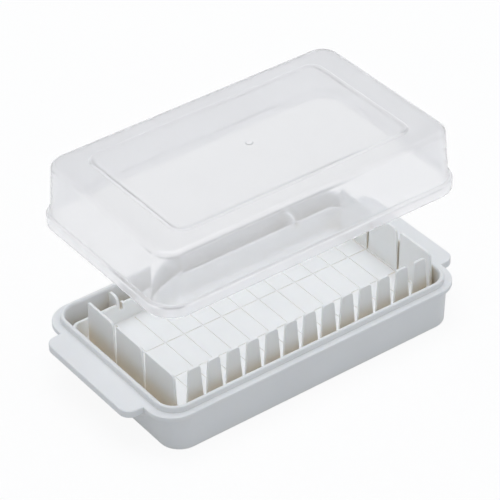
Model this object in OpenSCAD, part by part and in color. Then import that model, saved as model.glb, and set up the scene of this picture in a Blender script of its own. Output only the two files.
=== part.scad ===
// Butter portioning case, drawn with its clear lid held above it.
// A white case carries a removable cutting guide: a flat bed with fine grooves and upright fins.
// A knife is led down between the fins, so a block of butter is cut into equal small pieces.
// X runs along the length, Y to the back, Z up, and the underside of the case lies at Z = 0.

/* [Case] */
// Length over the outer faces of the ledge
case_length = 147.8; // [130:0.2:180]
// Width over the outer faces of the ledge
case_width = 87.2; // [84:0.2:110]
// Height of the ledge that the lid rests on
ledge_height = 17.8; // [16:0.1:24]
// Thickness of the ledge and of the end tabs
ledge_thick = 2; // [1.6:0.1:3]
// Width of the ledge along the front and the back of the raised rim
ledge_width = 2.7; // [2.2:0.1:3.6]
// Width of the ledge at the ends of the rim
end_ledge = 3.6; // [3:0.1:4.4]
// Overhang of the ledge beyond the front and back walls
side_overhang = 0.4; // [0.3:0.1:1.2]
// Height of the raised rim above the ledge
rim_rise = 2.5; // [2:0.1:3]
// Thickness of the rim and of the end walls
case_wall = 1.9; // [1.5:0.1:2.2]
// Floor thickness of the case
case_floor = 2; // [1.4:0.1:2.4]
// Inward slope of the walls from the ledge down to the floor
case_draft = 0.8; // [0.4:0.1:1.2]
// Corner radius of the inside of the case
cavity_radius = 7.4; // [7:0.1:12]
// Chamfer along the bottom edge
foot_chamfer = 0.4; // [0.3:0.1:1.2]

/* [End tabs] */
// Reach of an end tab beyond the ledge
tab_reach = 7.8; // [6:0.2:20]
// Distance from a side of the ledge to the near side of a tab
tab_margin = 14.7; // [13.5:0.1:26]
// Corner radius of an end tab
tab_radius = 5; // [3:0.5:6]
// Full height of the lip that turns down round a tab
tab_lip = 3.2; // [2.6:0.1:6]
// Wall thickness of that lip
lip_wall = 1.4; // [1.2:0.1:2]

/* [Cutting bed] */
// Height of the bed surface above the table
bed_height = 7.8; // [6:0.1:10]
// Thickness of the bed
bed_thick = 1.6; // [1.2:0.1:2]
// Height of the low wall above the bed
low_wall_rise = 8.5; // [6:0.1:12]
// Thickness of the low wall and of the skirt below the bed
guide_wall = 1.3; // [1.1:0.1:1.8]
// Gap between the guide and the case
guide_gap = 0.35; // [0.3:0.05:0.6]
// Width of the finger gap kept free behind the guide
back_margin = 4.95; // [4:0.05:10]
// Space from the front of the guide to the front fins
front_margin = 5.65; // [5:0.05:9]
// Space from the left end of the guide to the left fins
left_margin = 6.05; // [4:0.05:9]
// Radius of the back corners of the guide
back_radius = 4; // [3:0.5:6]
// Width of a groove in the bed
groove_width = 0.7; // [0.5:0.1:0.8]
// Depth of a groove in the bed
groove_depth = 0.5; // [0.3:0.1:0.8]
// Thickness of the two ribs under the bed
rib_thick = 1.2; // [1:0.1:2]

/* [Cuts and fins] */
// Number of cross cuts
cuts = 14; // [8:1:16]
// Distance from the left fins to the first cross cut
first_cut = 3.75; // [2:0.05:6]
// Distance from the last cross cut to the right fins
last_cut = 0.95; // [0.8:0.05:6]
// Space on the bed behind the end fins
rear_space = 2.75; // [1:0.05:6]
// Height of the fins above the bed
fin_rise = 20.2; // [14:0.2:24]
// Thickness of a fin
fin_thick = 1.2; // [1:0.1:1.4]
// Width of a front slot at its top
slot_top = 3.9; // [3:0.1:4.4]
// Width of a slot at the bed
slot_foot = 0.9; // [0.8:0.1:1.4]
// Width of a slot between two end fins at its top
end_slot_top = 2.7; // [2:0.1:4]
// Cut corner at the top of a front fin
fin_corner = 0.7; // [0.3:0.1:1]
// Depth of the cut corner that leads the knife into an end slot
lead_in = 2.2; // [1:0.1:5]
// Extra length of the foremost end fins to the front
end_reach = 1.6; // [0:0.1:2]

/* [Locating ribs] */
// Distance from the end of the ledge to a locating rib
locator_margin = 29.5; // [20:0.5:40]
// Thickness of a locating rib
locator_thick = 1.2; // [1:0.1:1.6]
// Rise of a locating rib above the low wall
locator_rise = 3.6; // [1:0.1:5]
// Width of the notch in the low wall beside the rib
notch_width = 1.6; // [1.2:0.1:3]
// Depth of that notch
notch_depth = 3; // [2:0.1:5]

/* [Lid] */
// Gap between the skirt of the lid and the ends of the rim
lid_end_gap = 0.4; // [0.3:0.1:1]
// Gap between the skirt of the lid and the long sides of the rim
lid_side_gap = 1.7; // [0.4:0.1:1.8]
// Corner radius of that skirt
lid_radius = 11.5; // [10:0.5:13]
// Inward step from the skirt to the walls of the lid
lid_step = 1.7; // [1:0.1:2]
// Height of the lid without its raised panel
lid_height = 27.2; // [24:0.1:40]
// Wall thickness of the lid
lid_wall = 1.5; // [1.2:0.1:1.6]
// Inward slope of the lid walls from bottom to top
lid_draft = 1.5; // [0.8:0.1:2]
// Thickness of the flared skirt at the bottom of the lid
skirt_wall = 1.3; // [1.1:0.1:1.4]
// Height of that skirt up to the underside of its shoulder
skirt_height = 3.4; // [3.2:0.1:5]
// Chamfer round the top edge of the lid
lid_chamfer = 1.6; // [1:0.1:2]
// Distance from the end of the skirt to the raised panel
panel_end_margin = 16; // [10:0.5:30]
// Distance from the side of the skirt to the raised panel
panel_side_margin = 12.2; // [8:0.1:20]
// Corner radius of the raised panel
panel_radius = 6; // [4:0.5:10]
// Height of the raised panel
panel_rise = 0.9; // [0.5:0.1:1.2]
// Diameter of the moulding mark in the middle of the panel
gate_width = 3.2; // [2:0.1:5]
// Height of that moulding mark
gate_rise = 0.3; // [0.2:0.1:0.6]
// Height at which the lid is held above its closed place
lid_lift = 47; // [0:0.1:80]

/* [Hidden] */
seat_gap = 0.3;
overlap = 0.5;
rim_length = case_length - 2 * end_ledge;
rim_width = case_width - 2 * ledge_width;
rim_radius = cavity_radius + case_wall;
rim_top = ledge_height + rim_rise;
ledge_radius = rim_radius + ledge_width;
body_width = case_width - 2 * side_overhang;
body_radius = rim_radius + 0.3 * (ledge_width - side_overhang);
cavity_length = rim_length - 2 * case_wall;
cavity_width = rim_width - 2 * case_wall;
guide_length = cavity_length - 2 * (case_draft + guide_gap);
guide_width = cavity_width - 2 * (case_draft + guide_gap);
guide_radius = cavity_radius - case_draft - guide_gap;
guide_foot = case_floor + seat_gap;
guide_front = -guide_width / 2;
guide_back = guide_width / 2 - back_margin;
guide_deep = guide_back - guide_front;
guide_mid = (guide_back + guide_front) / 2;
low_wall_top = bed_height + low_wall_rise;
bed_back = guide_back - guide_wall;
fins_front = guide_front + front_margin;
fins_inner = fins_front + fin_thick;
fins_left = left_margin - guide_length / 2;
fins_right = guide_length / 2 - 0.4 * fin_thick;
cut_start = fins_left + fin_thick + first_cut;
cut_end = fins_right - fin_thick - last_cut;
pitch = (cut_end - cut_start) / (cuts - 1);
strip = (bed_back - fins_inner - rear_space) / 3;
rows_y = fins_inner + 1.5 * strip;
mouth_deep = rows_y + 1.5 * strip - guide_front + overlap;
locator_x = case_length / 2 - locator_margin;
locator_reach = back_margin - guide_gap;
lid_length = rim_length + 2 * (lid_end_gap + skirt_wall);
lid_width = rim_width + 2 * (lid_side_gap + skirt_wall);
lid_base = ledge_height + seat_gap + lid_lift;
white = [0.93, 0.94, 0.95];
clear = [0.86, 0.89, 0.92, 0.35];
$fn = 96;

// Upright block with rounded corners; each step is how far its sides lie in from the full size, and at what height
module stepped_slab(long, deep, radius, steps) {
    last = len(steps) - 1;
    back = [for (i = [0 : last]) steps[last - i]];
    for (x = [-1, 1], y = [-1, 1])
        translate([x * (long / 2 - radius), y * (deep / 2 - radius), 0])
            rotate_extrude()
                polygon(concat([[0, steps[0][1]]], [for (s = steps) [radius - s[0], s[1]]], [[0, steps[last][1]]]));
    rotate([90, 0, 0])
        linear_extrude(height = deep - 2 * radius, center = true)
            polygon(concat([for (s = steps) [long / 2 - s[0], s[1]]], [for (s = back) [s[0] - long / 2, s[1]]]));
    rotate([90, 0, 90])
        linear_extrude(height = long - 2 * radius, center = true)
            polygon(concat([for (s = steps) [deep / 2 - s[0], s[1]]], [for (s = back) [s[0] - deep / 2, s[1]]]));
}

// Block with rounded corners and upright sides
module rounded_slab(long, deep, radius, low, high) {
    translate([-long / 2 + radius, -deep / 2, low])
        cube([long - 2 * radius, deep, high - low]);
    translate([-long / 2, -deep / 2 + radius, low])
        cube([long, deep - 2 * radius, high - low]);
    for (x = [-1, 1], y = [-1, 1])
        translate([x * (long / 2 - radius), y * (deep / 2 - radius), low])
            cylinder(h = high - low, r = radius);
}

// Case: a shallow tray with a raised rim, a ledge for the lid and a tab at each end
module case() {
    tab_length = case_length + 2 * tab_reach;
    tab_width = case_width - 2 * tab_margin;
    color(white)
        difference() {
            union() {
                stepped_slab(rim_length, body_width, body_radius, [[case_draft + foot_chamfer, 0],
                    [case_draft, foot_chamfer], [0, ledge_height - overlap]]);
                rounded_slab(rim_length, rim_width, rim_radius, ledge_height - overlap, rim_top);
                rounded_slab(case_length, case_width, ledge_radius, ledge_height - ledge_thick, ledge_height);
                rounded_slab(tab_length, tab_width, tab_radius, ledge_height - ledge_thick, ledge_height);
                difference() {
                    rounded_slab(tab_length, tab_width, tab_radius, ledge_height - tab_lip, ledge_height - overlap);
                    rounded_slab(tab_length - 2 * lip_wall, tab_width - 2 * lip_wall, tab_radius - lip_wall,
                        ledge_height - tab_lip - overlap, ledge_height - overlap);
                }
            }
            stepped_slab(cavity_length, cavity_width, cavity_radius, [[case_draft, case_floor],
                [0, rim_top], [0, rim_top + overlap]]);
        }
}

// Outline of the guide, made smaller all round by inset, from one height to another
module guide_block(inset, low, high) {
    intersection() {
        rounded_slab(guide_length - 2 * inset, guide_width - 2 * inset, guide_radius - inset, low, high);
        translate([0, guide_mid, 0])
            rounded_slab(guide_length - 2 * inset, guide_deep - 2 * inset, back_radius - inset, low - overlap,
                high + overlap);
    }
}

// Bed of the guide: grooved floor, low wall round it, skirt and ribs below it
module cutting_bed() {
    color(white) {
        difference() {
            guide_block(0, guide_foot, low_wall_top);
            guide_block(guide_wall, bed_height, low_wall_top + overlap);
            guide_block(guide_wall, guide_foot - overlap, bed_height - bed_thick);
            translate([fins_right - 2 * fin_thick, guide_front - overlap, bed_height])
                cube([4 * fin_thick, mouth_deep, low_wall_rise + overlap]);
            grooves();
            for (side = [-1, 1])
                translate([side * locator_x + locator_thick / 2, bed_back - overlap, low_wall_top - notch_depth])
                    cube([notch_width, guide_wall + 2 * overlap, notch_depth + overlap]);
        }
        for (side = [-1, 1])
            translate([0, guide_mid + side * guide_deep / 6 - rib_thick / 2, 0])
                under_rib();
        for (side = [-1, 1])
            translate([side * locator_x, bed_back, 0])
                locator();
    }
}

// Fine grooves in the bed, one for each place where the knife comes down
module grooves() {
    for (i = [0 : cuts - 1])
        translate([cut_start + i * pitch - groove_width / 2, fins_front, bed_height - groove_depth])
            cube([groove_width, bed_back - fins_front - 2 * fin_thick, groove_depth + overlap]);
    for (side = [-1, 1])
        translate([fins_left, rows_y + side * strip / 2 - groove_width / 2, bed_height - groove_depth])
            cube([fins_right - fins_left, groove_width, groove_depth + overlap]);
}

// Rib along the underside of the bed, from one end of the skirt to the other
module under_rib() {
    translate([guide_wall / 2 - guide_length / 2, 0, guide_foot])
        cube([guide_length - guide_wall, rib_thick, bed_height - bed_thick / 2 - guide_foot]);
}

// Rib through the low wall that keeps the guide off the back of the case, and the lip beside its notch
module locator() {
    deep = guide_wall + locator_reach;
    low = guide_foot + seat_gap;
    high = low_wall_top + locator_rise;
    translate([-locator_thick / 2, 0, 0])
        rotate([90, 0, 90])
            linear_extrude(height = locator_thick)
                polygon([[0, low], [deep - 1, low], [deep, low + 1], [deep, high - 1.2], [deep - 0.8, high - 0.3],
                    [0.6 * deep, high], [0.46 * deep, high - 0.3], [0.4 * deep, high - 1],
                    [guide_wall, low_wall_top - 1.5], [0, low_wall_top - 1.5]]);
    translate([locator_thick / 2 + notch_width, guide_wall / 2, low_wall_top - notch_depth])
        cube([locator_thick, 1.5 * guide_wall, notch_depth]);
}

// Upright fin, wide at its foot and with both top corners cut
module fin(foot, top) {
    rotate([90, 0, 0])
        linear_extrude(height = fin_thick)
            polygon([[-foot / 2, 0], [foot / 2, 0], [top / 2, fin_rise - fin_corner],
                [top / 2 - fin_corner, fin_rise], [fin_corner - top / 2, fin_rise],
                [-top / 2, fin_rise - fin_corner]]);
}

// Broad fin across an end: its front top corner is cut off to lead the knife into the gap
module end_fin(reach) {
    foot = strip - slot_foot;
    top = strip - end_slot_top;
    rotate([90, 0, 90])
        linear_extrude(height = fin_thick)
            polygon([[-foot / 2 - reach, 0], [foot / 2, 0], [top / 2, fin_rise - fin_corner],
                [top / 2 - fin_corner, fin_rise], [0.75 * lead_in - top / 2 - reach, fin_rise],
                [-top / 2 - reach, fin_rise - lead_in]]);
}

// Fins along the front edge of the bed, one between each two cuts
module front_comb() {
    color(white)
        for (i = [1 : cuts - 1])
            translate([cut_start + (i - 0.5) * pitch, fins_inner, bed_height])
                fin(pitch - slot_foot, pitch - slot_top);
}

// Three broad fins at the left end
module left_comb() {
    color(white)
        for (i = [-1 : 1])
            translate([fins_left, rows_y + i * strip, bed_height])
                end_fin(i < 0 ? end_reach : 0);
}

// Three broad fins at the right end
module right_comb() {
    color(white)
        for (i = [-1 : 1])
            translate([fins_right - fin_thick, rows_y + i * strip, bed_height])
                end_fin(i < 0 ? end_reach : 0);
}

// Clear lid: hollow hood with a flared skirt that fits round the rim and stands on the ledge
module lid() {
    panel_length = lid_length - 2 * panel_end_margin;
    panel_width = lid_width - 2 * panel_side_margin;
    shoulder = skirt_height + lid_wall;
    color(clear)
        translate([0, 0, lid_base])
            difference() {
                union() {
                    stepped_slab(lid_length, lid_width, lid_radius, [[0, 0], [0, shoulder],
                        [lid_step, shoulder], [lid_step + lid_draft, lid_height - lid_chamfer],
                        [lid_step + lid_draft + lid_chamfer, lid_height]]);
                    rounded_slab(panel_length, panel_width, panel_radius, lid_height - overlap,
                        lid_height + panel_rise);
                    cylinder(h = lid_height + panel_rise + gate_rise, d = gate_width);
                }
                stepped_slab(lid_length, lid_width, lid_radius, [[skirt_wall, -overlap],
                    [skirt_wall, skirt_height], [lid_step + lid_wall, skirt_height],
                    [lid_step + lid_wall + lid_draft, lid_height - lid_wall]]);
                rounded_slab(panel_length - 2 * lid_wall, panel_width - 2 * lid_wall, panel_radius - lid_wall,
                    lid_height - lid_wall - overlap, lid_height - lid_wall + panel_rise);
            }
}

case();
cutting_bed();
front_comb();
left_comb();
right_comb();
lid();
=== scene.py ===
"""Looks of a butter portioning case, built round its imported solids.

A white case stands on a pale floor, a loose cutting guide with upright fins lies in it, and a clear
hood lid is held above. X runs along the length, Y to the back and Z up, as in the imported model.
Every length in the dataclasses is in millimetres, and MM turns it into Blender's metres.
"""

import logging
import math
from collections.abc import Callable, Sequence
from dataclasses import dataclass, field
from enum import Enum
from itertools import pairwise

import bmesh
import bpy
from mathutils import Matrix, Vector


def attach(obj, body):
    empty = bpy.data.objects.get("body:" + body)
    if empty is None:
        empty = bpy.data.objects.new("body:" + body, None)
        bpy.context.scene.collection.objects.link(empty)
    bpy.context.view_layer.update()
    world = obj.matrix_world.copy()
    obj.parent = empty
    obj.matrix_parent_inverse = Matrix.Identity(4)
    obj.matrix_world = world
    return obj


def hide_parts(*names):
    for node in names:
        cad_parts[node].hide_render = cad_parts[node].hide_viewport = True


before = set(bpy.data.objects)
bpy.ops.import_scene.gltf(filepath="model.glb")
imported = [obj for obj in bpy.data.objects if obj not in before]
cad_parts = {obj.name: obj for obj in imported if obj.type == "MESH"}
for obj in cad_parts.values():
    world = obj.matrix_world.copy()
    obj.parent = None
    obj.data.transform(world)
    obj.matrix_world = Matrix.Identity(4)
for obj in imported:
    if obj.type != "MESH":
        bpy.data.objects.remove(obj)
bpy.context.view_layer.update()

MM = 0.001
CLOSE = 0.02
PHOTO_SIDE = 500
LOG = logging.getLogger("butter_case")


class Body(Enum):
    """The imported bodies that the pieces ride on."""

    CASE = "case"
    GUIDE = "guide"
    LID = "lid"


class Part(Enum):
    """What an operator in edit mode acts on."""

    POINTS = "VERT"
    EDGES = "EDGE"
    FACES = "FACE"


class Solve(Enum):
    """How a boolean modifier joins two closed meshes."""

    JOIN = "UNION"
    CUT = "DIFFERENCE"


def linear(code: str) -> tuple[float, float, float, float]:
    """Turns an sRGB hex colour into linear light.

    Args:
        code: Six hex digits.

    Returns:
        Red, green, blue and an alpha of 1.
    """
    parts = [int(code[i : i + 2], 16) / 255 for i in (0, 2, 4)]
    red, green, blue = (c / 12.92 if c <= 0.04045 else ((c + 0.055) / 1.055) ** 2.4 for c in parts)
    return red, green, blue, 1.0


# Modelling by hand


def only(obj: bpy.types.Object) -> None:
    """Leaves edit mode, deselects everything and makes one object the active one.

    Args:
        obj: The object to work on next.
    """
    if bpy.context.object is not None and bpy.context.object.mode != "OBJECT":
        bpy.ops.object.mode_set(mode="OBJECT")
    bpy.ops.object.select_all(action="DESELECT")
    obj.select_set(True)
    bpy.context.view_layer.objects.active = obj


def edit(obj: bpy.types.Object) -> None:
    """Opens one object in edit mode with nothing selected.

    Args:
        obj: The object to shape.
    """
    only(obj)
    bpy.ops.object.mode_set(mode="EDIT")
    bpy.ops.mesh.select_mode(type=Part.POINTS.value)
    bpy.ops.mesh.select_all(action="DESELECT")


def middle(item: bmesh.types.BMVert | bmesh.types.BMEdge | bmesh.types.BMFace) -> Vector:
    """Gives the place of a point, or the middle of an edge or face, in millimetres."""
    if isinstance(item, bmesh.types.BMVert):
        return item.co / MM
    if isinstance(item, bmesh.types.BMEdge):
        return (item.verts[0].co + item.verts[1].co) / (2 * MM)
    return item.calc_center_median() / MM


def pick(obj: bpy.types.Object, kind: Part, test: Callable[..., bool]) -> int:
    """Selects, in edit mode, what passes a test, and nothing else.

    Args:
        obj: The object in edit mode.
        kind: Points, edges or faces.
        test: Takes one of them and says whether it is wanted.

    Returns:
        How many were selected.
    """
    bpy.ops.mesh.select_mode(type=kind.value)
    bpy.ops.mesh.select_all(action="DESELECT")
    mesh = bmesh.from_edit_mesh(obj.data)
    items = {Part.POINTS: mesh.verts, Part.EDGES: mesh.edges, Part.FACES: mesh.faces}[kind]
    wanted = [item for item in items if test(item)]
    for item in wanted:
        item.select_set(True)
    mesh.select_flush_mode()
    bmesh.update_edit_mesh(obj.data)
    return len(wanted)


def at_height(height: float) -> Callable[[bmesh.types.BMEdge], bool]:
    """Makes a test for open edges that lie level at one height.

    Args:
        height: The height in millimetres.

    Returns:
        The test, for use with pick.
    """

    def test(edge: bmesh.types.BMEdge) -> bool:
        """Says whether an edge is open and lies at the height."""
        return edge.is_boundary and all(abs(v.co.z / MM - height) < CLOSE for v in edge.verts)

    return test


def close_level(obj: bpy.types.Object, height: float) -> None:
    """Fills what is open at one height with a flat face.

    Args:
        obj: The object in edit mode.
        height: The height of the open edges in millimetres.
    """
    pick(obj, Part.EDGES, at_height(height))
    bpy.ops.mesh.fill(use_beauty=True)


def point_outwards(obj: bpy.types.Object) -> None:
    """Merges doubled points and turns every face outwards, then leaves edit mode.

    Args:
        obj: The closed object to finish.
    """
    edit(obj)
    bpy.ops.mesh.select_all(action="SELECT")
    bpy.ops.mesh.remove_doubles(threshold=0.002 * MM)
    bpy.ops.mesh.normals_make_consistent(inside=False)
    bpy.ops.object.mode_set(mode="OBJECT")


def apply_modifier(obj: bpy.types.Object, kind: str, **settings: object) -> None:
    """Adds a modifier, sets it and applies it.

    Args:
        obj: The object that gets it.
        kind: Blender's name for the modifier's type.
        **settings: The modifier's settings by name.
    """
    only(obj)
    modifier = obj.modifiers.new(kind.title(), kind)
    for name, value in settings.items():
        setattr(modifier, name, value)
    bpy.ops.object.modifier_apply(modifier=modifier.name)


def combine(obj: bpy.types.Object, tool: bpy.types.Object, how: Solve) -> None:
    """Joins a closed mesh to an object or cuts it away, and removes the tool.

    Args:
        obj: The object that stays.
        tool: The closed mesh that is used up.
        how: Join or cut.
    """
    apply_modifier(obj, "BOOLEAN", object=tool, operation=how.value, solver="EXACT")
    bpy.data.objects.remove(tool)


def take_in(obj: bpy.types.Object, other: bpy.types.Object) -> None:
    """Makes another mesh part of an object's own, without a cut or a weld.

    Args:
        obj: The object that stays.
        other: The object that is used up.
    """
    only(other)
    obj.select_set(True)
    bpy.context.view_layer.objects.active = obj
    bpy.ops.object.join()


def smooth(obj: bpy.types.Object, degrees: float = 40.0) -> None:
    """Shades an object smooth across its rounded edges and keeps its flat faces flat.

    Args:
        obj: The finished object.
        degrees: The least angle that stays a sharp edge.
    """
    only(obj)
    bpy.ops.object.shade_smooth_by_angle(angle=math.radians(degrees))
    apply_modifier(obj, "WEIGHTED_NORMAL", keep_sharp=True, weight=100)


def block(name: str, low: Sequence[float], high: Sequence[float]) -> bpy.types.Object:
    """Adds a box between two corners and leaves it in edit mode, to be shaped.

    Args:
        name: The object's name.
        low: The lowest corner in millimetres.
        high: The highest corner in millimetres.

    Returns:
        The new object, at the origin with its place in its mesh.
    """
    if bpy.context.object is not None and bpy.context.object.mode != "OBJECT":
        bpy.ops.object.mode_set(mode="OBJECT")
    bpy.ops.object.select_all(action="DESELECT")
    bpy.ops.mesh.primitive_cube_add(size=1)
    obj = bpy.context.object
    obj.name = obj.data.name = name
    edit(obj)
    bpy.ops.mesh.select_all(action="SELECT")
    bpy.ops.transform.resize(value=[(b - a) * MM for a, b in zip(low, high)])
    bpy.ops.transform.translate(value=[(a + b) / 2 * MM for a, b in zip(low, high)])
    return obj


def copy_of(obj: bpy.types.Object, name: str, shift: Sequence[float]) -> bpy.types.Object:
    """Copies an object with its own mesh and moves that mesh.

    Args:
        obj: The object to copy.
        name: The copy's name.
        shift: How far its mesh moves, in millimetres.

    Returns:
        The copy, at the origin.
    """
    only(obj)
    bpy.ops.object.duplicate(linked=False)
    copy = bpy.context.object
    copy.name = copy.data.name = name
    copy.data.transform(Matrix.Translation(Vector(shift) * MM))
    return copy


@dataclass(frozen=True)
class Turn:
    """A corner in the section of a wall: how far in from the outline, how high, how much rounded."""

    inset: float
    height: float
    radius: float = 0.0


@dataclass(frozen=True)
class Outline:
    """A rounded rectangle seen from above."""

    right: float
    front: float
    back: float
    front_radius: float
    back_radius: float

    def grown(self, by: float) -> "Outline":
        """Gives the same outline moved outwards all round."""
        return Outline(
            self.right + by, self.front - by, self.back + by, self.front_radius + by, self.back_radius + by
        )

    def swept(self, name: str, section: Sequence[Turn], steps: int = 12) -> bpy.types.Object:
        """Draws a section point by point and leads it round the outline.

        Args:
            name: The new object's name.
            section: The turns of the section, from one open end to the other.
            steps: The number of faces round a corner of the outline.

        Returns:
            The open band, still in edit mode.
        """
        back_centre = self.back - self.back_radius
        front_centre = self.front + self.front_radius
        first = section[0]
        obj = block(name, (0, 0, 0), (1, 1, 1))
        bpy.ops.mesh.merge(type="CENTER")
        start = Vector((self.right - first.inset - 0.5, back_centre - 0.5, first.height - 0.5))
        bpy.ops.transform.translate(value=start * MM)
        for a, b in pairwise(section):
            step = ((a.inset - b.inset) * MM, 0, (b.height - a.height) * MM)
            bpy.ops.mesh.extrude_vertices_move(TRANSFORM_OT_translate={"value": step})
        for turn in section:
            if turn.radius:
                self._round(obj, Vector((self.right - turn.inset, back_centre, turn.height)), turn.radius)
        corners = (
            (self.right - self.back_radius, back_centre, 2 * (self.back_radius - self.right), 0),
            (self.back_radius - self.right, back_centre, 0, front_centre - back_centre),
            (self.front_radius - self.right, front_centre, 2 * (self.right - self.front_radius), 0),
            (self.right - self.front_radius, front_centre, 0, back_centre - front_centre),
        )
        bpy.ops.mesh.select_all(action="SELECT")
        for x, y, along, across in corners:
            bpy.ops.mesh.spin(
                steps=steps, angle=-math.pi / 2, center=(x * MM, y * MM, 0), axis=(0, 0, 1)
            )
            move = {"value": (along * MM, across * MM, 0)}
            bpy.ops.mesh.extrude_region_move(TRANSFORM_OT_translate=move)
        bpy.ops.mesh.select_all(action="SELECT")
        bpy.ops.mesh.remove_doubles(threshold=0.002 * MM)
        return obj

    @staticmethod
    def _round(obj: bpy.types.Object, place: Vector, radius: float) -> None:
        """Rounds the section at the point that lies at a place."""
        pick(obj, Part.POINTS, lambda v: (middle(v) - place).length < CLOSE)
        segments = 3 if radius < 0.8 else 5
        bpy.ops.mesh.bevel(offset=radius * MM, segments=segments, affect="VERTICES")


# Materials


def add_node(
    tree: bpy.types.NodeTree,
    kind: str,
    links: dict[str | int, bpy.types.NodeSocket] | None = None,
    inputs: dict[str | int, object] | None = None,
    **settings: object,
) -> bpy.types.Node:
    """Adds a node with its settings, values and links.

    Args:
        tree: The material's node tree.
        kind: The node's type.
        links: What feeds its inputs.
        inputs: Plain values of its inputs.
        **settings: The node's own properties.

    Returns:
        The new node.
    """
    node = tree.nodes.new(kind)
    for name, value in settings.items():
        setattr(node, name, value)
    for name, value in (inputs or {}).items():
        node.inputs[name].default_value = value
    for name, source in (links or {}).items():
        tree.links.new(source, node.inputs[name])
    return node


def blank_material(name: str) -> bpy.types.Material:
    """Makes a material with an empty node tree."""
    material = bpy.data.materials.new(name)
    material.use_nodes = True
    material.node_tree.nodes.clear()
    return material


def where_seen(tree: bpy.types.NodeTree, path: bpy.types.Node) -> bpy.types.NodeSocket:
    """Tells what is looked at from what only lights, for the white surroundings.

    Args:
        tree: The node tree of the floor or of the world.
        path: Its Light Path node.

    Returns:
        A value of 1 for the camera's rays, also after a mirror or a clear part.
    """
    direct = path.outputs["Is Camera Ray"]
    for kind in ("Is Transmission Ray", "Is Glossy Ray"):
        both = add_node(tree, "ShaderNodeMath", {0: direct, 1: path.outputs[kind]}, operation="MAXIMUM")
        direct = both.outputs["Value"]
    return direct


@dataclass(frozen=True)
class MouldedABS:
    """Injection-moulded white ABS: satin, with a painted warm shade in its corners and crevices, and the
    faint marks of its mould.
    """

    name: str
    colour: str
    shade: str
    # Painted shade: the warm darker colour that corners and crevices are mixed towards
    painted_corner_shade: str
    roughness: float = 0.42
    gloss_spread: float = 0.05
    ior: float = 1.54
    flow_mm: float = 26.0
    grain_mm: float = 0.5
    shade_reach_mm: float = 9.0

    def material(self) -> bpy.types.Material:
        """Builds the plastic: broad flow marks in colour and gloss, a painted warm shade in its corners and a
        fine spark-eroded grain.

        Returns:
            The material.
        """
        material = blank_material(self.name)
        tree = material.node_tree
        place = add_node(tree, "ShaderNodeTexCoord").outputs["Object"]
        flow = add_node(
            tree, "ShaderNodeTexNoise", {"Vector": place}, {"Scale": 1 / (self.flow_mm * MM), "Detail": 3.0}
        )
        tint = add_node(tree, "ShaderNodeValToRGB", {"Fac": flow.outputs["Fac"]})
        tint.color_ramp.elements[0].color = linear(self.shade)
        tint.color_ramp.elements[0].position = 0.3
        tint.color_ramp.elements[1].color = linear(self.colour)
        tint.color_ramp.elements[1].position = 0.7
        # Painted shade: where ambient occlusion finds walls close by, in corners, creases and at the feet of
        # the fins, the base colour is mixed towards a warm darker colour, standing in for the light passed on
        # between the walls
        shade_occlusion = add_node(
            tree,
            "ShaderNodeAmbientOcclusion",
            {"Color": tint.outputs["Color"]},
            {"Distance": self.shade_reach_mm * MM},
            samples=8,
        )
        unshaded_share = add_node(
            tree,
            "ShaderNodeMapRange",
            {"Value": shade_occlusion.outputs["AO"]},
            {"From Min": 0.1, "From Max": 0.55, "To Min": 0.0, "To Max": 1.0},
        )
        painted_shade_colour = add_node(
            tree,
            "ShaderNodeMix",
            {0: unshaded_share.outputs["Result"], 7: tint.outputs["Color"]},
            {6: linear(self.painted_corner_shade)},
            data_type="RGBA",
        )
        gloss = add_node(
            tree,
            "ShaderNodeMapRange",
            {"Value": flow.outputs["Fac"]},
            {
                "From Min": 0.3,
                "From Max": 0.7,
                "To Min": self.roughness - self.gloss_spread,
                "To Max": self.roughness + self.gloss_spread,
            },
        )
        # The real grain is about 0.05 mm, too fine to show, so it is drawn ten times as coarse and faint
        grain = add_node(
            tree, "ShaderNodeTexNoise", {"Vector": place}, {"Scale": 1 / (self.grain_mm * MM), "Detail": 2.0}
        )
        bump = add_node(
            tree,
            "ShaderNodeBump",
            {"Height": grain.outputs["Fac"]},
            {"Strength": 0.12, "Distance": 0.01 * MM},
        )
        shader = add_node(
            tree,
            "ShaderNodeBsdfPrincipled",
            {
                "Base Color": painted_shade_colour.outputs[2],
                "Roughness": gloss.outputs["Result"],
                "Normal": bump.outputs["Normal"],
            },
            {
                "IOR": self.ior,
                "Subsurface Weight": 0.12,
                "Subsurface Radius": (1.0, 0.8, 0.6),
                "Subsurface Scale": 0.8 * MM,
            },
        )
        add_node(tree, "ShaderNodeOutputMaterial", {"Surface": shader.outputs["BSDF"]})
        return material


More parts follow.
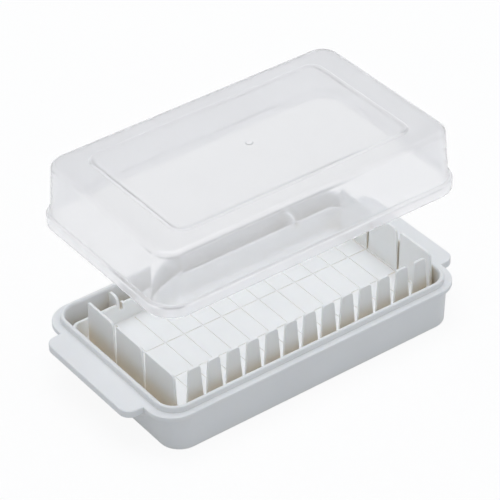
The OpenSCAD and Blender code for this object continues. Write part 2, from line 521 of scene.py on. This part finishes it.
@dataclass(frozen=True)
class ClearResin:
    """Clear moulded AS (styrene-acrylonitrile) resin: glossy and faintly hazy, and lamps reach through it."""

    name: str
    colour: str
    milk: str
    haze: float
    glow_share: float = 0.75
    roughness: float = 0.02
    ior: float = 1.57
    ripple_mm: float = 18.0

    def material(self) -> bpy.types.Material:
        """Builds the resin: refraction with a slight haze, and a slow ripple of the moulded surface.

        Returns:
            The material.
        """
        material = blank_material(self.name)
        tree = material.node_tree
        place = add_node(tree, "ShaderNodeTexCoord").outputs["Object"]
        ripple = add_node(
            tree, "ShaderNodeTexNoise", {"Vector": place}, {"Scale": 1 / (self.ripple_mm * MM), "Detail": 1.0}
        )
        gloss = add_node(
            tree,
            "ShaderNodeMapRange",
            {"Value": ripple.outputs["Fac"]},
            {
                "From Min": 0.3,
                "From Max": 0.7,
                "To Min": self.roughness * 0.6,
                "To Max": self.roughness * 1.4,
            },
        )
        bump = add_node(
            tree,
            "ShaderNodeBump",
            {"Height": ripple.outputs["Fac"]},
            {"Strength": 0.2, "Distance": 0.05 * MM},
        )
        shader = add_node(
            tree,
            "ShaderNodeBsdfPrincipled",
            {"Roughness": gloss.outputs["Result"], "Normal": bump.outputs["Normal"]},
            {"Base Color": linear(self.colour), "IOR": self.ior, "Transmission Weight": 1.0},
        )
        lit = add_node(tree, "ShaderNodeBsdfDiffuse", inputs={"Color": linear(self.milk)})
        glow = add_node(tree, "ShaderNodeBsdfTranslucent", inputs={"Color": linear(self.milk)})
        milk = add_node(
            tree,
            "ShaderNodeMixShader",
            {1: lit.outputs["BSDF"], 2: glow.outputs["BSDF"]},
            {"Fac": self.glow_share},
        )
        hazed = add_node(
            tree,
            "ShaderNodeMixShader",
            {1: shader.outputs["BSDF"], 2: milk.outputs["Shader"]},
            {"Fac": self.haze},
        )
        path = add_node(tree, "ShaderNodeLightPath")
        through = add_node(tree, "ShaderNodeBsdfTransparent", inputs={"Color": linear(self.colour)})
        surface = add_node(
            tree,
            "ShaderNodeMixShader",
            {
                "Fac": path.outputs["Is Shadow Ray"],
                1: hazed.outputs["Shader"],
                2: through.outputs["BSDF"],
            },
        )
        add_node(tree, "ShaderNodeOutputMaterial", {"Surface": surface.outputs["Shader"]})
        return material


@dataclass(frozen=True)
class PaleSweep:
    """The pale floor of the studio: white to the eye, with the object's soft shadow on it."""

    name: str
    colour: str
    glow: float

    def material(self) -> bpy.types.Material:
        """Builds the floor: matt and pale, and lifted to white where it is seen rather than lighting.

        Returns:
            The material.
        """
        material = blank_material(self.name)
        tree = material.node_tree
        matt = add_node(tree, "ShaderNodeBsdfDiffuse", inputs={"Color": linear(self.colour)})
        paper = add_node(tree, "ShaderNodeBsdfDiffuse", inputs={"Color": linear("FFFFFF")})
        white = add_node(tree, "ShaderNodeEmission", inputs={"Color": linear("FFFFFF"), "Strength": 1.0})
        path = add_node(tree, "ShaderNodeLightPath")
        seen = where_seen(tree, path)
        shown = add_node(
            tree,
            "ShaderNodeMixShader",
            {1: paper.outputs["BSDF"], 2: white.outputs["Emission"]},
            {"Fac": self.glow},
        )
        surface = add_node(
            tree,
            "ShaderNodeMixShader",
            {"Fac": seen, 1: matt.outputs["BSDF"], 2: shown.outputs["Shader"]},
        )
        add_node(tree, "ShaderNodeOutputMaterial", {"Surface": surface.outputs["Shader"]})
        return material


def dress(
    obj: bpy.types.Object, material: bpy.types.Material, body: Body, slot: str, *nodes: str
) -> bpy.types.Object:
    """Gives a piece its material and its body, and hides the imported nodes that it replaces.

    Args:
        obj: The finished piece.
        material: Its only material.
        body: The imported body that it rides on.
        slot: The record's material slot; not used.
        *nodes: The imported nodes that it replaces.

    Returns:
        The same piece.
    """
    obj.data.materials.clear()
    obj.data.materials.append(material)
    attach(obj, body.value)
    if nodes:
        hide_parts(*nodes)
    LOG.info("%s: %d faces, rides on %s", obj.name, len(obj.data.polygons), body.value)
    return obj


# The case


@dataclass
class Case:
    """The white tray: raised rim, broad ledge for the lid, and a tab at each end."""

    finish: MouldedABS
    shelf: Outline = field(default_factory=lambda: Outline(73.9, -43.6, 43.6, 12.0, 12.0))
    rim: Outline = field(default_factory=lambda: Outline(70.3, -40.9, 40.9, 9.3, 9.3))
    body: Outline = field(default_factory=lambda: Outline(70.3, -43.2, 43.2, 10.0, 10.0))
    cavity: Outline = field(default_factory=lambda: Outline(68.4, -39.0, 39.0, 7.4, 7.4))
    floor: float = 2.0
    ledge: float = 17.8
    ledge_thick: float = 2.0
    rim_top: float = 20.3
    draft: float = 0.8
    foot_radius: float = 0.4
    ledge_edge: float = 0.45
    rim_edge: float = 0.6
    rim_flare: float = 1.9
    floor_radius: float = 1.4
    tab_end: float = 81.7
    tab_half_width: float = 28.9
    tab_radius: float = 5.0
    tab_lip: float = 3.2
    tab_sink: float = 1.1
    lip_wall: float = 1.4

    def build(self) -> None:
        """Builds the tray and its tabs as one moulding."""
        tray = self._walls()
        combine(tray, self._shelf(), Solve.JOIN)
        combine(tray, self._rim(), Solve.JOIN)
        combine(tray, self._hollow(), Solve.CUT)
        for side in (-1, 1):
            combine(tray, self._tab(side), Solve.JOIN)
        point_outwards(tray)
        smooth(tray)
        dress(tray, self.finish.material(), Body.CASE, "case_plastic", "case")

    def _closed(
        self, name: str, outline: Outline, section: Sequence[Turn], low: float, high: float
    ) -> bpy.types.Object:
        """Leads a section round an outline and closes it below and above.

        Args:
            name: The new object's name.
            outline: What the section is led round.
            section: The turns of the section.
            low: The height of its open lower end.
            high: The height of its open upper end.

        Returns:
            The closed solid.
        """
        solid = outline.swept(name, section)
        close_level(solid, low)
        close_level(solid, high)
        point_outwards(solid)
        return solid

    def _walls(self) -> bpy.types.Object:
        """Models the body below the ledge, still without its hollow.

        Returns:
            The closed solid.
        """
        top = self.ledge - self.ledge_thick / 2
        section = (
            Turn(6.0, top),
            Turn(self.draft * (1 - top / self.ledge), top),
            Turn(self.draft, 0, self.foot_radius),
            Turn(6.0, 0),
        )
        return self._closed("case_shell", self.body, section, 0, top)

    def _shelf(self) -> bpy.types.Object:
        """Models the ledge as a closed slab with eased edges.

        Returns:
            The closed solid.
        """
        low = self.ledge - self.ledge_thick
        section = (
            Turn(8.0, self.ledge),
            Turn(0, self.ledge, self.ledge_edge),
            Turn(0, low, 0.25),
            Turn(8.0, low),
        )
        return self._closed("shelf", self.shelf, section, low, self.ledge)

    def _rim(self) -> bpy.types.Object:
        """Models the raised rim as a closed slab with a rounded top edge.

        Returns:
            The closed solid.
        """
        low = self.ledge - self.ledge_thick / 4
        section = (
            Turn(6.0, self.rim_top),
            Turn(0, self.rim_top, self.rim_edge),
            Turn(0, low),
            Turn(6.0, low),
        )
        return self._closed("rim", self.rim, section, low, self.rim_top)

    def _hollow(self) -> bpy.types.Object:
        """Models the inside of the case, rounded along its floor and at the rim's inner edge.

        Returns:
            The cutting tool.
        """
        top = self.rim_top + 1
        section = (
            Turn(6.0, top),
            Turn(-self.rim_flare, top),
            Turn(0, self.rim_top - 0.5, self.rim_edge),
            Turn(self.draft, self.floor, self.floor_radius),
            Turn(6.0, self.floor),
        )
        return self._closed("hollow", self.cavity, section, self.floor, top)

    def _tab(self, side: int) -> bpy.types.Object:
        """Models an end tab: a slab with round corners, hollow below within its lip.

        Args:
            side: -1 for the left end and 1 for the right end.

        Returns:
            The closed tab, reaching into the wall of the case.
        """
        root = self.cavity.right + self.tab_sink
        ends = sorted((side * root, side * self.tab_end))
        tab = block(
            "tab",
            (ends[0], -self.tab_half_width, self.ledge - self.tab_lip),
            (ends[1], self.tab_half_width, self.ledge),
        )
        outer = side * self.tab_end
        pick(
            tab,
            Part.EDGES,
            lambda e: abs(middle(e).x - outer) < CLOSE and abs(e.verts[0].co.z - e.verts[1].co.z) > MM,
        )
        bpy.ops.mesh.bevel(offset=self.tab_radius * MM, segments=10)
        pick(tab, Part.FACES, lambda f: f.normal.z < -0.9)
        bpy.ops.mesh.inset(thickness=self.lip_wall * MM)
        move = {"value": (0, 0, (self.tab_lip - self.ledge_thick) * MM)}
        bpy.ops.mesh.extrude_region_move(TRANSFORM_OT_translate=move)
        for height, radius in ((self.ledge, 0.5), (self.ledge - self.tab_lip, 0.3)):
            pick(
                tab,
                Part.EDGES,
                lambda e: all(abs(v.co.z / MM - height) < CLOSE for v in e.verts)
                and abs(middle(e).x - side * root) > CLOSE
                and not self._within_lip(e),
            )
            bpy.ops.mesh.bevel(offset=radius * MM, segments=3)
        point_outwards(tab)
        return tab

    def _within_lip(self, edge: bmesh.types.BMEdge) -> bool:
        """Says whether an edge belongs to the hollow under the tab."""
        reach = self.lip_wall * 0.5
        place = middle(edge)
        root = self.cavity.right + self.tab_sink
        return (
            root + reach < abs(place.x) < self.tab_end - reach
            and abs(place.y) < self.tab_half_width - reach
            and (
                abs(place.x) < self.tab_end - self.tab_radius
                or abs(place.y) < self.tab_half_width - self.tab_radius
                or math.hypot(
                    abs(place.x) - self.tab_end + self.tab_radius,
                    abs(place.y) - self.tab_half_width + self.tab_radius,
                )
                < self.tab_radius - reach
            )
        )


# The cutting guide


@dataclass
class Bed:
    """The grooved bed of the cutting guide, with its low wall, skirt, ribs and locators."""

    finish: MouldedABS
    outline: Outline = field(default_factory=lambda: Outline(67.25, -37.85, 32.9, 6.25, 4.0))
    foot: float = 2.3
    top: float = 7.8
    thick: float = 1.6
    wall_top: float = 16.3
    wall: float = 1.3
    cuts: int = 14
    first_cut: float = -56.25
    pitch: float = 9.298
    groove: float = 0.7
    groove_depth: float = 0.3
    strip: float = 19.95
    rows_y: float = -1.075
    fins_front: float = -32.2
    fins_left: float = -61.2
    fins_right: float = 66.77
    fin_thick: float = 1.2
    locator_x: float = 44.4
    locator_thick: float = 1.2
    locator_top: float = 19.9
    locator_reach: float = 4.6
    locator_foot: float = 2.6
    notch_width: float = 1.6
    notch_depth: float = 3.0
    notch_spare: float = 0.6
    rib_thick: float = 1.2

    def build(self) -> None:
        """Builds the bed as one moulding."""
        bed = self._shell()
        combine(bed, self._openings(), Solve.CUT)
        for side in (-1, 1):
            combine(bed, self._locator(side), Solve.JOIN)
            combine(bed, self._rib(side), Solve.JOIN)
        combine(bed, self._cross_grooves(), Solve.CUT)
        combine(bed, self._long_grooves(), Solve.CUT)
        point_outwards(bed)
        smooth(bed)
        dress(bed, self.finish.material(), Body.GUIDE, "guide_plastic", "cutting_bed")

    def _shell(self) -> bpy.types.Object:
        """Leads the section of wall and skirt round the guide and closes the bed.

        Returns:
            The closed shell.
        """
        section = (
            Turn(3.2, self.top),
            Turn(self.wall, self.top, 0.4),
            Turn(self.wall, self.wall_top, 0.4),
            Turn(0, self.wall_top, 0.4),
            Turn(0, self.foot, 0.3),
            Turn(self.wall, self.foot, 0.3),
            Turn(self.wall, self.top - self.thick, 0.3),
            Turn(3.2, self.top - self.thick),
        )
        shell = self.outline.swept("guide_bed", section)
        close_level(shell, self.top)
        close_level(shell, self.top - self.thick)
        point_outwards(shell)
        return shell

    def _openings(self) -> bpy.types.Object:
        """Models what is cut from the low wall: the mouth at the right end and two round notches.

        Returns:
            The cutting tool.
        """
        half = 1.5 * self.strip
        tool = block(
            "openings",
            (self.fins_right - 2 * self.fin_thick, self.outline.front - 1, self.top),
            (self.fins_right + 2 * self.fin_thick, self.rows_y + half, self.wall_top + 1),
        )
        bpy.ops.object.mode_set(mode="OBJECT")
        for side in (-1, 1):
            left = side * self.locator_x + self.locator_thick / 2
            notch = block(
                "notch",
                (left, self.outline.back - self.wall - self.notch_spare, self.wall_top - self.notch_depth),
                (left + self.notch_width, self.outline.back + self.notch_spare, self.wall_top + 1),
            )
            low = self.wall_top - self.notch_depth
            pick(
                notch,
                Part.EDGES,
                lambda e: abs(middle(e).z - low) < CLOSE and abs(e.verts[0].co.y - e.verts[1].co.y) > MM,
            )
            bpy.ops.mesh.bevel(offset=0.45 * self.notch_width * MM, segments=5)
            take_in(tool, notch)
        point_outwards(tool)
        return tool

    def _groove(
        self, name: str, low: Sequence[float], high: Sequence[float], across: int
    ) -> bpy.types.Object:
        """Models the cutter of one groove, a little narrower at its bottom.

        Args:
            name: The cutter's name.
            low: Its lowest corner.
            high: Its highest corner.
            across: The axis across the groove.

        Returns:
            The closed cutter.
        """
        cutter = block(name, low, high)
        bottom = self.top - self.groove_depth
        pick(cutter, Part.FACES, lambda f: abs(middle(f).z - bottom) < CLOSE)
        scale = [1.0, 1.0, 1.0]
        scale[across] = 0.6
        bpy.ops.transform.resize(value=scale)
        bpy.ops.object.mode_set(mode="OBJECT")
        return cutter

    def _cross_grooves(self) -> bpy.types.Object:
        """Repeats one groove cutter along the bed.

        Returns:
            The cutter of all cross grooves.
        """
        back = self.outline.back - self.wall - self.fin_thick
        cutter = self._groove(
            "cross_grooves",
            (self.first_cut - self.groove / 2, self.fins_front, self.top - self.groove_depth),
            (self.first_cut + self.groove / 2, back, self.top + 0.3),
            0,
        )
        apply_modifier(
            cutter,
            "ARRAY",
            count=self.cuts,
            use_relative_offset=False,
            use_constant_offset=True,
            constant_offset_displace=(self.pitch * MM, 0, 0),
        )
        return cutter

    def _long_grooves(self) -> bpy.types.Object:
        """Repeats one groove cutter across the bed.

        Returns:
            The cutter of both lengthwise grooves.
        """
        y = self.rows_y - self.strip / 2
        cutter = self._groove(
            "long_grooves",
            (self.fins_left, y - self.groove / 2, self.top - self.groove_depth),
            (self.fins_right - self.fin_thick, y + self.groove / 2, self.top + 0.3),
            1,
        )
        apply_modifier(
            cutter,
            "ARRAY",
            count=2,
            use_relative_offset=False,
            use_constant_offset=True,
            constant_offset_displace=(0, self.strip * MM, 0),
        )
        return cutter

    def _locator(self, side: int) -> bpy.types.Object:
        """Models the thin rib that stands through the back wall beside a notch, and the notch's lip.

        Args:
            side: -1 for the left rib and 1 for the right one.

        Returns:
            The closed rib.
        """
        x = side * self.locator_x
        inner = self.outline.back - self.wall
        outer = self.outline.back + self.locator_reach
        rib = block(
            "locator",
            (x - self.locator_thick / 2, inner, self.locator_foot),
            (x + self.locator_thick / 2, outer, self.locator_top),
        )
        across = self.locator_thick * 0.9 * MM
        for place, amount in (
            ((inner, self.locator_top), 2.6),
            ((outer, self.locator_top), 1.0),
            ((outer, self.locator_foot), 1.0),
        ):
            pick(
                rib,
                Part.EDGES,
                lambda e: abs(e.verts[0].co.x - e.verts[1].co.x) > across
                and math.hypot(middle(e).y - place[0], middle(e).z - place[1]) < CLOSE,
            )
            bpy.ops.mesh.bevel(offset=amount * MM, segments=5)
        point_outwards(rib)
        lip_left = x + self.locator_thick / 2 + self.notch_width
        lip = block(
            "lip",
            (lip_left, inner + self.wall / 2, self.wall_top - self.notch_depth),
            (lip_left + self.locator_thick, self.outline.back + self.wall * 0.5, self.wall_top - 0.15),
        )
        take_in(rib, lip)
        return rib

    def _rib(self, side: int) -> bpy.types.Object:
        """Models one of the two ribs under the bed.

        Args:
            side: -1 for the front rib and 1 for the back one.

        Returns:
            The closed rib, reaching into the skirt and the bed.
        """
        middle_y = (self.outline.back + self.outline.front) / 2
        y = middle_y + side * (self.outline.back - self.outline.front) / 6
        end = self.outline.right - self.wall / 2
        rib = block(
            "under_rib",
            (-end, y - self.rib_thick / 2, self.foot),
            (end, y + self.rib_thick / 2, self.top - self.thick / 2),
        )
        pick(
            rib,
            Part.EDGES,
            lambda e: abs(middle(e).z - self.foot) < CLOSE and abs(e.verts[0].co.x - e.verts[1].co.x) > MM,
        )
        bpy.ops.mesh.bevel(offset=0.3 * MM, segments=2)
        point_outwards(rib)
        return rib


@dataclass
class Combs:
    """The upright fins: thirteen along the front and three across each end."""

    finish: MouldedABS
    bed: Bed
    rise: float = 20.2
    sink: float = 0.4
    foot_gap: float = 0.9
    front_top_gap: float = 3.9
    end_top_gap: float = 2.7
    front_face: float = -31.0
    front_corner: float = 1.3
    lead_in: float = 2.4
    end_reach: float = 1.6
    back_corner: float = 0.8
    edge: float = 0.25

    def build(self) -> None:
        """Builds one fin of each kind and sets copies of it in place."""
        plastic = self.finish.material()
        bed = self.bed
        first = self._front_fin()
        for i in range(1, bed.cuts):
            shift = (bed.first_cut + (i - 0.5) * bed.pitch, self.front_face, 0)
            fin = copy_of(first, f"front_fin_{i:02d}", shift)
            dress(fin, plastic, Body.GUIDE, "guide_plastic", "front_comb")
        bpy.data.objects.remove(first)
        ends = (("left", bed.fins_left, "left_comb"), ("right", bed.fins_right - bed.fin_thick, "right_comb"))
        for reach, rows in ((self.end_reach, (-1,)), (0.0, (0, 1))):
            broad = self._end_fin(reach)
            for name, x, node in ends:
                for i in rows:
                    fin = copy_of(broad, f"{name}_fin_{i + 2}", (x, bed.rows_y + i * bed.strip, 0))
                    dress(fin, plastic, Body.GUIDE, "guide_plastic", node)
            bpy.data.objects.remove(broad)

    def _plate(
        self, name: str, low: Sequence[float], high: Sequence[float], along: int, top: float
    ) -> bpy.types.Object:
        """Models an upright plate that is narrower at its top.

        Args:
            name: The plate's name.
            low: Its lowest corner.
            high: Its highest corner.
            along: The axis along which it narrows.
            top: The share of its width that is left at the top.

        Returns:
            The plate, in edit mode.
        """
        plate = block(name, low, high)
        pick(plate, Part.FACES, lambda f: f.normal.z > 0.9)
        scale = [1.0, 1.0, 1.0]
        scale[along] = top
        bpy.ops.transform.resize(value=scale)
        return plate

    def _front_fin(self) -> bpy.types.Object:
        """Models a front fin: both top corners rounded and every edge eased.

        Returns:
            The fin, standing at the origin.
        """
        bed = self.bed
        foot = bed.pitch - self.foot_gap
        top = bed.pitch - self.front_top_gap
        low = (-foot / 2, -bed.fin_thick, bed.top - self.sink)
        high = (foot / 2, 0, bed.top + self.rise)
        fin = self._plate("front_fin", low, high, 0, top / foot)
        self._round_top(fin, 0, -1, self.front_corner)
        self._round_top(fin, 0, 1, self.front_corner)
        self._ease(fin)
        return fin

    def _end_fin(self, reach: float) -> bpy.types.Object:
        """Models an end fin: its front top corner leads the knife in.

        Args:
            reach: How much further it stands out to the front.

        Returns:
            The fin, standing at the origin.
        """
        bed = self.bed
        foot = bed.strip - self.foot_gap
        top = bed.strip - self.end_top_gap
        low = (0, -foot / 2 - reach, bed.top - self.sink)
        high = (bed.fin_thick, foot / 2, bed.top + self.rise)
        fin = self._plate("end_fin", low, high, 1, (top + reach) / (foot + reach))
        self._round_top(fin, 1, -1, self.lead_in)
        self._round_top(fin, 1, 1, self.back_corner)
        self._ease(fin)
        return fin

    def _round_top(self, fin: bpy.types.Object, along: int, side: int, radius: float) -> None:
        """Rounds one top corner of a fin.

        Args:
            fin: The fin in edit mode.
            along: The axis along the fin.
            side: -1 or 1, which end of that axis.
            radius: The corner's radius.
        """
        high = self.bed.top + self.rise

        def corner(edge: bmesh.types.BMEdge) -> bool:
            """Says whether an edge runs through the fin's thickness at that top corner."""
            place = middle(edge)
            level = all(abs(v.co.z / MM - high) < CLOSE for v in edge.verts)
            same = abs(edge.verts[0].co[along] - edge.verts[1].co[along]) < CLOSE * MM
            return level and same and side * place[along] > 1.6

        pick(fin, Part.EDGES, corner)
        bpy.ops.mesh.bevel(offset=radius * MM, segments=6)

    def _ease(self, fin: bpy.types.Object) -> None:
        """Rounds all edges of a fin a little and finishes it.

        Args:
            fin: The fin in edit mode.
        """
        bpy.ops.object.mode_set(mode="OBJECT")
        apply_modifier(
            fin,
            "BEVEL",
            width=self.edge * MM,
            segments=3,
            limit_method="ANGLE",
            angle_limit=math.radians(50),
            use_clamp_overlap=True,
        )
        point_outwards(fin)
        smooth(fin)


# The lid


@dataclass
class Lid:
    """The clear hood: flared skirt, sloping walls, rounded top edge and a raised panel."""

    finish: ClearResin
    outline: Outline = field(default_factory=lambda: Outline(72.0, -43.9, 43.9, 11.5, 11.5))
    base: float = 65.1
    height: float = 27.2
    wall: float = 1.5
    draft: float = 1.5
    step: float = 1.7
    skirt_wall: float = 1.3
    skirt: float = 3.4
    top_radius: float = 2.2
    panel_right: float = 56.0
    panel_back: float = 31.7
    panel_radius: float = 6.0
    panel_rise: float = 0.9
    gate_radius: float = 1.6
    gate_rise: float = 0.3

    def build(self) -> None:
        """Builds the hood as one clear moulding."""
        hood = self._hood()
        self._panel(hood, self.base + self.height, 0.0)
        self._panel(hood, self.base + self.height - self.wall, self.wall)
        edit(hood)
        close_level(hood, self.base + self.height)
        close_level(hood, self.base + self.height - self.wall)
        self._gate(hood)
        close_level(hood, self.base + self.height + self.panel_rise)
        close_level(hood, self.base + self.height - self.wall + self.panel_rise)
        point_outwards(hood)
        smooth(hood, 50.0)
        dress(hood, self.finish.material(), Body.LID, "lid_resin", "lid")

    def _hood(self) -> bpy.types.Object:
        """Leads the section of wall and skirt round the lid.

        Returns:
            The hood, open at its top.
        """
        base = self.base
        shoulder = base + self.skirt + self.wall
        top = base + self.height
        outer = self.step + self.draft
        section = (
            Turn(outer + 3.0, top),
            Turn(outer + 0.1, top, self.top_radius),
            Turn(self.step, shoulder, 0.5),
            Turn(0, shoulder, 0.9),
            Turn(0, base, 0.35),
            Turn(self.skirt_wall, base, 0.35),
            Turn(self.skirt_wall, base + self.skirt, 0.4),
            Turn(self.step + self.wall, base + self.skirt, 0.5),
            Turn(outer + self.wall, top - self.wall, 1.2),
            Turn(outer + self.wall + 1.9, top - self.wall),
        )
        hood = self.outline.swept("lid_hood", section, 16)
        bpy.ops.object.mode_set(mode="OBJECT")
        return hood

    def _panel(self, hood: bpy.types.Object, level: float, inset: float) -> None:
        """Adds the sloping border of the raised panel to one skin of the lid.

        Args:
            hood: The lid's mesh, which takes the border in.
            level: The height of that skin.
            inset: How far the border lies in from the panel's outline.
        """
        outline = Outline(
            self.panel_right, -self.panel_back, self.panel_back, self.panel_radius, self.panel_radius
        ).grown(-inset)
        rise = level + self.panel_rise
        section = (
            Turn(-0.6, level),
            Turn(0.0, level, 0.35),
            Turn(0.45, rise, 0.35),
            Turn(1.1, rise),
        )
        take_in(hood, outline.swept("panel", section, 10))

    def _gate(self, hood: bpy.types.Object) -> None:
        """Adds the small round mark that the mould's inlet leaves in the middle of the panel.

        Args:
            hood: The lid's mesh, in edit mode.
        """
        top = self.base + self.height + self.panel_rise
        bpy.ops.mesh.select_all(action="DESELECT")
        bpy.ops.mesh.primitive_circle_add(
            vertices=24, radius=self.gate_radius * MM, location=(0, 0, top * MM)
        )
        for rise, scale in ((0.7, 0.9), (0.3, 0.7)):
            move = {"value": (0, 0, rise * self.gate_rise * MM)}
            bpy.ops.mesh.extrude_region_move(TRANSFORM_OT_translate=move)
            bpy.ops.transform.resize(value=(scale, scale, 1))
        bpy.ops.mesh.edge_face_add()


# The studio


@dataclass(frozen=True)
class Camera:
    """The photograph's camera: where it aims, from which side, how far off and how long its lens is."""

    aim: tuple[float, float, float] = (11.77, 17.98, 26.18)
    azimuth: float = -35.551
    elevation: float = 36.314
    roll: float = -1.558
    distance: float = 1063.8
    focal_pixels: float = 2614.9
    sensor: float = 36.0

    def build(self) -> None:
        """Adds the camera and makes it the scene's."""
        turn, rise, roll = (math.radians(v) for v in (self.azimuth, self.elevation, self.roll))
        right = Vector((math.cos(turn), math.sin(turn), 0))
        back = Vector((math.sin(turn) * math.cos(rise), -math.cos(turn) * math.cos(rise), math.sin(rise)))
        up = back.cross(right)
        across = right * math.cos(roll) + up * math.sin(roll)
        upright = up * math.cos(roll) - right * math.sin(roll)
        place = Vector(self.aim) * MM + back * self.distance * MM
        data = bpy.data.cameras.new("photo_camera")
        data.sensor_width = self.sensor
        data.lens = self.focal_pixels / PHOTO_SIDE * self.sensor
        data.clip_start = 0.05
        camera = bpy.data.objects.new("photo_camera", data)
        bpy.context.scene.collection.objects.link(camera)
        camera.matrix_world = Matrix(
            [(across[i], upright[i], back[i], place[i]) for i in range(3)] + [(0, 0, 0, 1)]
        )
        bpy.context.scene.camera = camera


@dataclass(frozen=True)
class Softbox:
    """A square area lamp that is aimed at the object."""

    name: str
    place: tuple[float, float, float]
    side: float
    power: float
    colour: str

    def build(self) -> None:
        """Hangs the lamp and turns it to the object."""
        data = bpy.data.lights.new(self.name, "AREA")
        data.shape = "SQUARE"
        data.size = self.side
        data.energy = self.power
        data.color = linear(self.colour)[:3]
        lamp = bpy.data.objects.new(self.name, data)
        bpy.context.scene.collection.objects.link(lamp)
        aim = Vector((0, 0, 0.03)) - Vector(self.place)
        lamp.matrix_world = Matrix.Translation(self.place) @ aim.to_track_quat("-Z", "Y").to_matrix().to_4x4()


@dataclass(frozen=True)
class Studio:
    """Pale floor, soft light and camera."""

    floor: PaleSweep
    lamps: tuple[Softbox, ...]
    sky: str
    sky_strength: float
    ceiling: float = 0.5
    floor_side: float = 6.0

    def build(self) -> None:
        """Sets the whole studio up."""
        self._floor()
        self._world()
        for lamp in self.lamps:
            lamp.build()
        Camera().build()
        bpy.context.scene.view_settings.view_transform = "Standard"

    def _floor(self) -> None:
        """Adds the floor just below the case."""
        half = self.floor_side / 2 / MM
        floor = block("floor", (-half, -half, -20.0), (half, half, -0.02))
        pick(floor, Part.EDGES, lambda e: middle(e).z > -1)
        bpy.ops.mesh.bevel(offset=10 * MM, segments=3)
        bpy.ops.object.mode_set(mode="OBJECT")
        floor.data.materials.append(self.floor.material())

    def _world(self) -> None:
        """Sets the soft light from all round, which is white where it is seen."""
        world = bpy.data.worlds.new("soft_room")
        world.use_nodes = True
        tree = world.node_tree
        tree.nodes.clear()
        room = add_node(
            tree,
            "ShaderNodeBackground",
            inputs={"Color": linear(self.sky), "Strength": self.sky_strength},
        )
        path = add_node(tree, "ShaderNodeLightPath")
        # The backdrop is white and the ceiling grey, which draws the clear lid's bent edges as fine lines
        way = add_node(tree, "ShaderNodeTexCoord")
        height = add_node(tree, "ShaderNodeSeparateXYZ", {"Vector": way.outputs["Generated"]})
        ceiling = add_node(
            tree,
            "ShaderNodeMapRange",
            {"Value": height.outputs["Z"]},
            {"From Min": 0.0, "From Max": 0.4, "To Min": 1.0, "To Max": self.ceiling},
        )
        level = add_node(
            tree,
            "ShaderNodeMath",
            {0: ceiling.outputs["Result"], 1: path.outputs["Is Camera Ray"]},
            operation="MAXIMUM",
        )
        white = add_node(
            tree, "ShaderNodeBackground", {"Strength": level.outputs["Value"]}, {"Color": linear("FFFFFF")}
        )
        seen = where_seen(tree, path)
        mix = add_node(
            tree,
            "ShaderNodeMixShader",
            {"Fac": seen, 1: room.outputs["Background"], 2: white.outputs["Background"]},
        )
        add_node(tree, "ShaderNodeOutputWorld", {"Surface": mix.outputs["Shader"]})
        bpy.context.scene.world = world


def main() -> None:
    """Builds the pieces in order, then the studio."""
    logging.basicConfig(level=logging.INFO, format="%(name)s %(message)s")
    # The last colour of each plastic is the painted warm shade of its corners and crevices
    case_plastic = MouldedABS("moulded_white_abs_case", "EDEEEE", "E9EAEA", "F0EADC")
    # The guide's white is a little brighter than the case's: partly its own paler white, partly painted light
    # standing in for the light passed on between its fins
    guide_plastic = MouldedABS("moulded_white_abs_guide", "F5F6F5", "F1F2F1", "F3E9D7", roughness=0.38)
    Case(case_plastic).build()
    bed = Bed(guide_plastic)
    bed.build()
    Combs(guide_plastic, bed).build()
    Lid(ClearResin("clear_as_resin_lid", "FAFAFB", "FEFEFF", 0.27)).build()
    Studio(
        floor=PaleSweep("pale_paper_sweep", "C8C9CA", 0.9),
        lamps=(
            Softbox("overhead_softbox", (0.1, 0.3, 1.3), 1.0, 5.9, "FBFCFF"),
            Softbox("front_fill", (0.25, -1.5, 0.75), 0.9, 1.2, "F4F8FF"),
        ),
        sky="ECF0F5",
        sky_strength=0.67,
    ).build()


if __name__ == "__main__":
    main()
